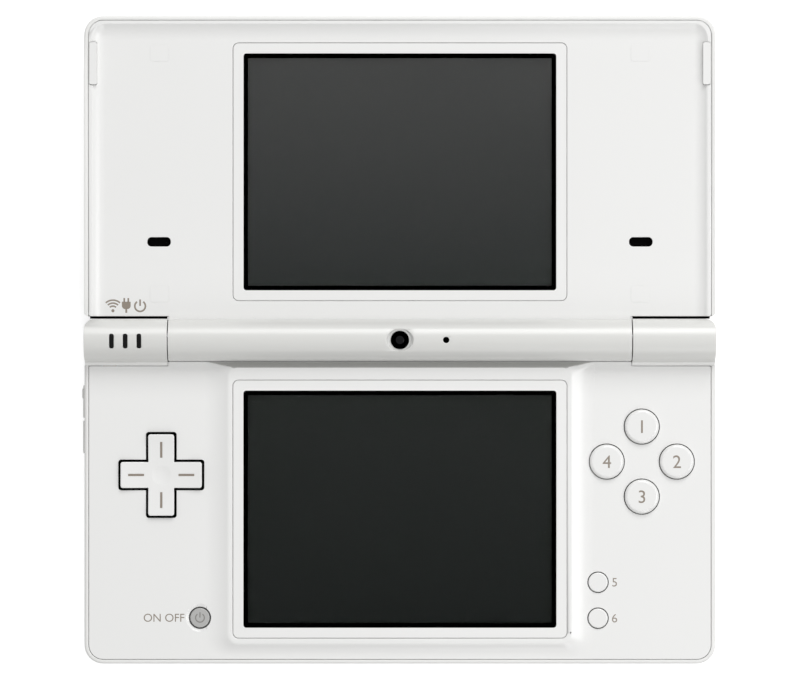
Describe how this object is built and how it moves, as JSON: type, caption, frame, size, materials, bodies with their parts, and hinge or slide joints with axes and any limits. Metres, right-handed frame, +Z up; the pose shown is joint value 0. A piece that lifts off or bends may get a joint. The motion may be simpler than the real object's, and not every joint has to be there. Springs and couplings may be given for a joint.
{
  "type": "clamshell handheld game console",
  "caption": "Clamshell handheld game console with a hinged lid, a screen in each half, a d-pad, face buttons, side controls and a stylus.",
  "frame": {"origin": "on the table, under the middle of the hinge axis, with the lid open flat", "axes": "+X to the player's right, +Y away from the player, +Z up out of the screens"},
  "size_m": [0.1377, 0.1406, 0.0159],
  "materials": {
    "shell_white": "satin",
    "face_white": "gloss",
    "clear_window": "polished",
    "black_plastic": "matte",
    "screen": "satin",
    "board": "satin",
    "steel": "satin",
    "brass": "polished",
    "rubber": "matte",
    "battery": "satin",
    "grey_plastic": "satin",
    "power_grey": "satin",
    "flex": "satin",
    "lens": "polished",
    "cloth": "woven"
  },
  "bodies": {
    "base": {"base_bottom_housing": "shell_white", "base_top_housing": "face_white", "battery_cover": "shell_white", "battery_cover_screws": "steel", "battery_pack": "battery", "battery_contacts": "brass", "housing_screws": "steel", "rubber_feet": "rubber", "touch_panel": "clear_window", "lower_screen_frame": "black_plastic", "lower_lcd_module": "screen", "main_board": "board", "wireless_board": "board", "game_card_socket": "black_plastic", "memory_card_socket": "steel", "headphone_jack": "grey_plastic", "charging_port": "black_plastic", "stylus_tube": "grey_plastic", "dome_switches": "steel", "side_pins": "steel", "side_switches": "black_plastic", "left_shoulder_spring": "steel", "right_shoulder_spring": "steel", "light_pipes": "lens", "status_light_board": "board", "left_hinge_pin": "steel", "hinge_click_shaft": "steel", "base_flex_cable": "flex"},
    "lid": {"lid_inner_housing": "face_white", "lid_outer_cover": "shell_white", "upper_screen_window": "clear_window", "upper_screen_frame": "black_plastic", "upper_lcd_module": "screen", "left_speaker": "black_plastic", "right_speaker": "black_plastic", "speaker_cloths": "cloth", "barrel_camera": "black_plastic", "barrel_camera_lens": "lens", "rear_camera": "black_plastic", "rear_camera_lens": "lens", "microphone": "steel", "hinge_click_unit": "grey_plastic", "lid_screws": "steel", "lid_screw_covers": "face_white", "lid_side_bumpers": "face_white", "lid_flex_cable": "flex"},
    "stylus_body": {"stylus": "face_white"},
    "d_pad_body": {"d_pad": "face_white"},
    "d_pad_pivot_body": {"d_pad_pivot": "rubber"},
    "face_button_top_body": {"face_button_top": "face_white"},
    "face_button_right_body": {"face_button_right": "face_white"},
    "face_button_bottom_body": {"face_button_bottom": "face_white"},
    "face_button_left_body": {"face_button_left": "face_white"},
    "start_button_body": {"start_button": "face_white"},
    "select_button_body": {"select_button": "face_white"},
    "power_button_body": {"power_button": "power_grey"},
    "volume_rocker_body": {"volume_rocker": "shell_white"},
    "left_shoulder_button_body": {"left_shoulder_button": "face_white"},
    "right_shoulder_button_body": {"right_shoulder_button": "face_white"},
    "memory_card_door_body": {"memory_card_door": "shell_white"}
  },
  "joints": [
    {"name": "lid_hinge", "type": "hinge", "parent": "base", "child": "lid", "pos_m": [0, 0, 0.01135], "axis": [1, 0, 0], "range_deg": [0, 180]},
    {"name": "d_pad_tilt_front_back", "type": "hinge", "parent": "base", "child": "d_pad_pivot_body", "pos_m": [-0.0518, -0.0293, 0.008], "axis": [1, 0, 0], "range_deg": [-2, 2], "stiffness_Nm_per_rad": 0.2},
    {"name": "d_pad_tilt_left_right", "type": "hinge", "parent": "d_pad_pivot_body", "child": "d_pad_body", "pos_m": [-0.0518, -0.0293, 0.008], "axis": [0, 1, 0], "range_deg": [-2, 2], "stiffness_Nm_per_rad": 0.2},
    {"name": "face_button_top_press", "type": "slide", "parent": "base", "child": "face_button_top_body", "axis": [0, 0, -1], "range_m": [0, 0.0004], "stiffness_N_per_m": 2500},
    {"name": "face_button_right_press", "type": "slide", "parent": "base", "child": "face_button_right_body", "axis": [0, 0, -1], "range_m": [0, 0.0004], "stiffness_N_per_m": 2500},
    {"name": "face_button_bottom_press", "type": "slide", "parent": "base", "child": "face_button_bottom_body", "axis": [0, 0, -1], "range_m": [0, 0.0004], "stiffness_N_per_m": 2500},
    {"name": "face_button_left_press", "type": "slide", "parent": "base", "child": "face_button_left_body", "axis": [0, 0, -1], "range_m": [0, 0.0004], "stiffness_N_per_m": 2500},
    {"name": "start_button_press", "type": "slide", "parent": "base", "child": "start_button_body", "axis": [0, 0, -1], "range_m": [0, 0.0003], "stiffness_N_per_m": 3000},
    {"name": "select_button_press", "type": "slide", "parent": "base", "child": "select_button_body", "axis": [0, 0, -1], "range_m": [0, 0.0003], "stiffness_N_per_m": 3000},
    {"name": "power_button_press", "type": "slide", "parent": "base", "child": "power_button_body", "axis": [0, 0, -1], "range_m": [0, 0.0003], "stiffness_N_per_m": 3000},
    {"name": "volume_rocker_tip", "type": "hinge", "parent": "base", "child": "volume_rocker_body", "pos_m": [-0.0654, -0.01725, 0.0059], "axis": [0, 0, 1], "range_deg": [-2.5, 2.5], "stiffness_Nm_per_rad": 0.2},
    {"name": "left_shoulder_press", "type": "hinge", "parent": "base", "child": "left_shoulder_button_body", "pos_m": [-0.0516, 0.0014, 0.004], "axis": [0, 0, 1], "range_deg": [0, 4], "stiffness_Nm_per_rad": 0.25},
    {"name": "right_shoulder_press", "type": "hinge", "parent": "base", "child": "right_shoulder_button_body", "pos_m": [0.0516, 0.0014, 0.004], "axis": [0, 0, -1], "range_deg": [0, 4], "stiffness_Nm_per_rad": 0.25},
    {"name": "stylus_slide", "type": "slide", "parent": "base", "child": "stylus_body", "axis": [1, 0, 0], "range_m": [0, 0.095]},
    {"name": "memory_card_door_swing", "type": "hinge", "parent": "base", "child": "memory_card_door_body", "pos_m": [0.06785, -0.0402, 0.0049], "axis": [0, 0, -1], "range_deg": [0, 90]}
  ]
}
